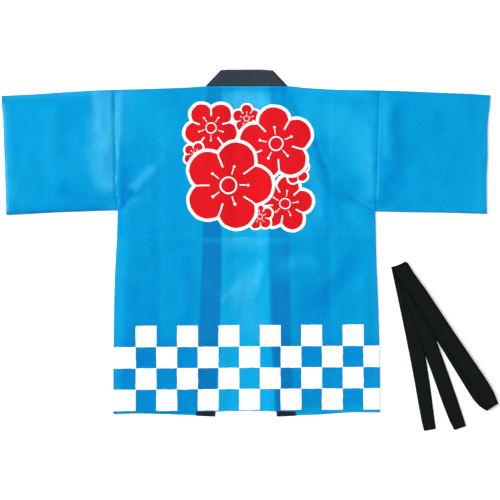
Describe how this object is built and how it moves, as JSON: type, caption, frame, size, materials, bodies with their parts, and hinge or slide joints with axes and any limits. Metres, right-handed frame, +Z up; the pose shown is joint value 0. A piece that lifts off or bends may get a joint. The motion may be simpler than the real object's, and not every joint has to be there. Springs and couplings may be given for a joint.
{
  "type": "happi coat laid flat with folded belt",
  "caption": "Short-sleeved blue festival coat laid flat with its back up, with a checked hem band, a dark collar band and a black cloth belt folded beside it.",
  "frame": {"origin": "on the surface that the coat lies on, under the middle of the coat and its belt together", "axes": "+X across the coat to the right as its back is seen, +Y from the hem towards the collar, +Z up from the surface"},
  "size_m": [1.1426, 0.8327, 0.0065],
  "materials": {
    "blue_cloth": "matt spunbonded cloth, sky blue, with a white printed check band at the hem",
    "collar_cloth": "matt charcoal cloth",
    "belt_cloth": "matt black cloth"
  },
  "bodies": {
    "root": {"back": "blue_cloth", "front_left": "blue_cloth", "front_right": "blue_cloth", "sleeve_left": "blue_cloth", "sleeve_right": "blue_cloth", "collar": "collar_cloth", "belt": "belt_cloth"}
  },
  "joints": []
}
